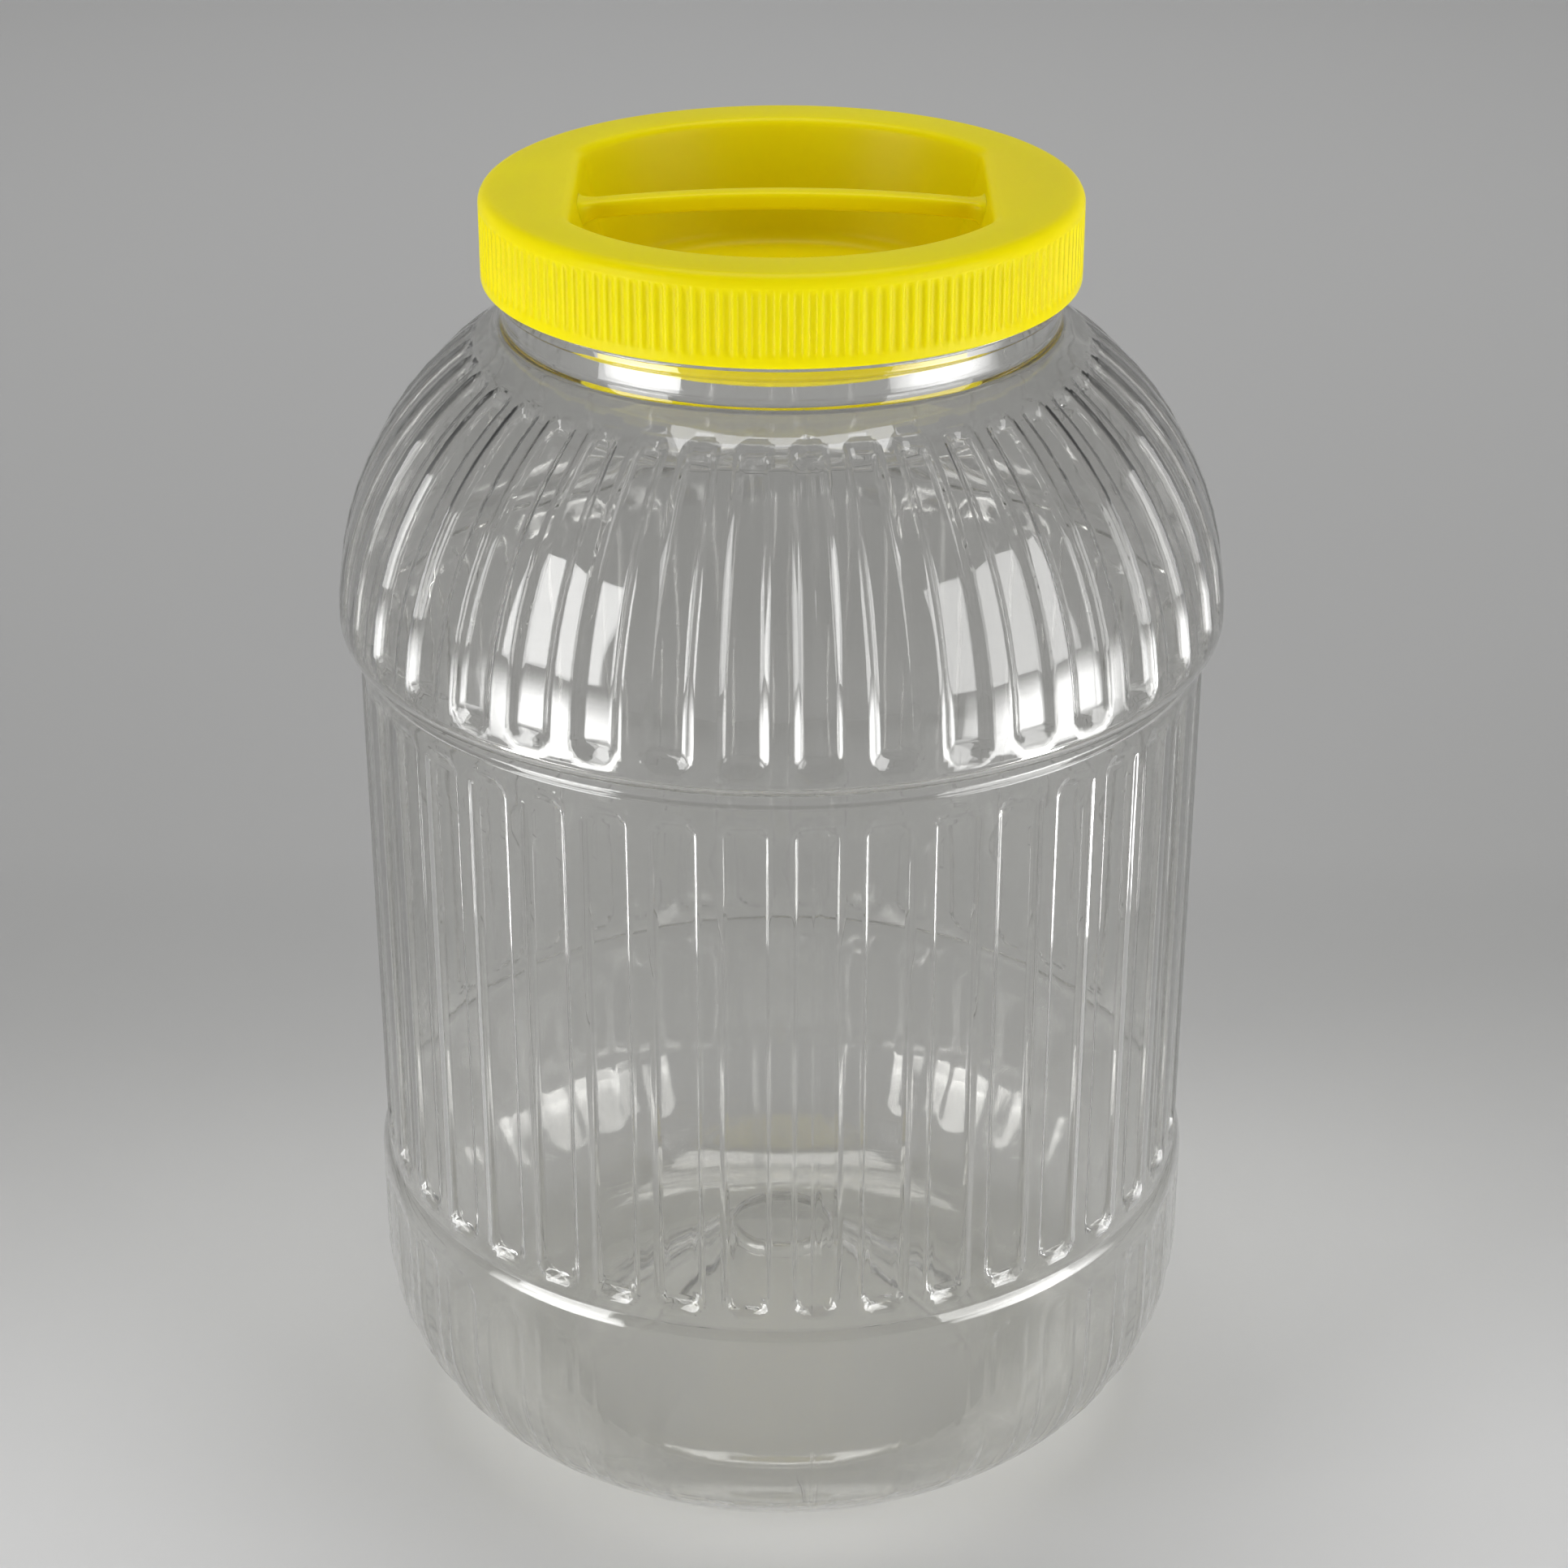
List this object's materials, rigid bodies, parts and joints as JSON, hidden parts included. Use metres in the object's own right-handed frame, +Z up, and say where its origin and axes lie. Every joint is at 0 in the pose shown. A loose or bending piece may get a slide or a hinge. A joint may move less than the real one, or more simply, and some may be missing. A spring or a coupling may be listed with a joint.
{
  "type": "storage jar",
  "caption": "Clear fluted plastic storage jar with a domed shoulder, a pushed-up base and a yellow screw lid with a recessed top and a grip bar across it.",
  "frame": {"origin": "on the table, at the centre of the ring that the jar stands on", "axes": "+Z up along the axis of the jar and its lid, -Y towards the front of the picture, X along the lid's grip bar"},
  "size_m": [0.1746, 0.1746, 0.263],
  "materials": {
    "clear_plastic": "clear blown plastic, glossy inside and out",
    "yellow_plastic": "moulded yellow plastic with a satin gloss",
    "seal_foam": "white closed-cell foam"
  },
  "bodies": {
    "jar": {"jar_body": "clear_plastic"},
    "seal": {"sealing_ring": "seal_foam"},
    "lid": {"screw_lid": "yellow_plastic"}
  },
  "joints": [
    {"name": "lid_lift", "type": "slide", "parent": "jar", "child": "seal", "axis": [0, 0, 1], "range_m": [0, 0.0305]},
    {"name": "lid_turn", "type": "hinge", "parent": "seal", "child": "lid", "pos_m": [0, 0, 0.26], "axis": [0, 0, 1], "range_deg": [0, 2160]}
  ],
  "couplings": [
    {"joint": "lid_lift", "follows": "lid_turn", "m_per_rad": 0.00079577}
  ]
}
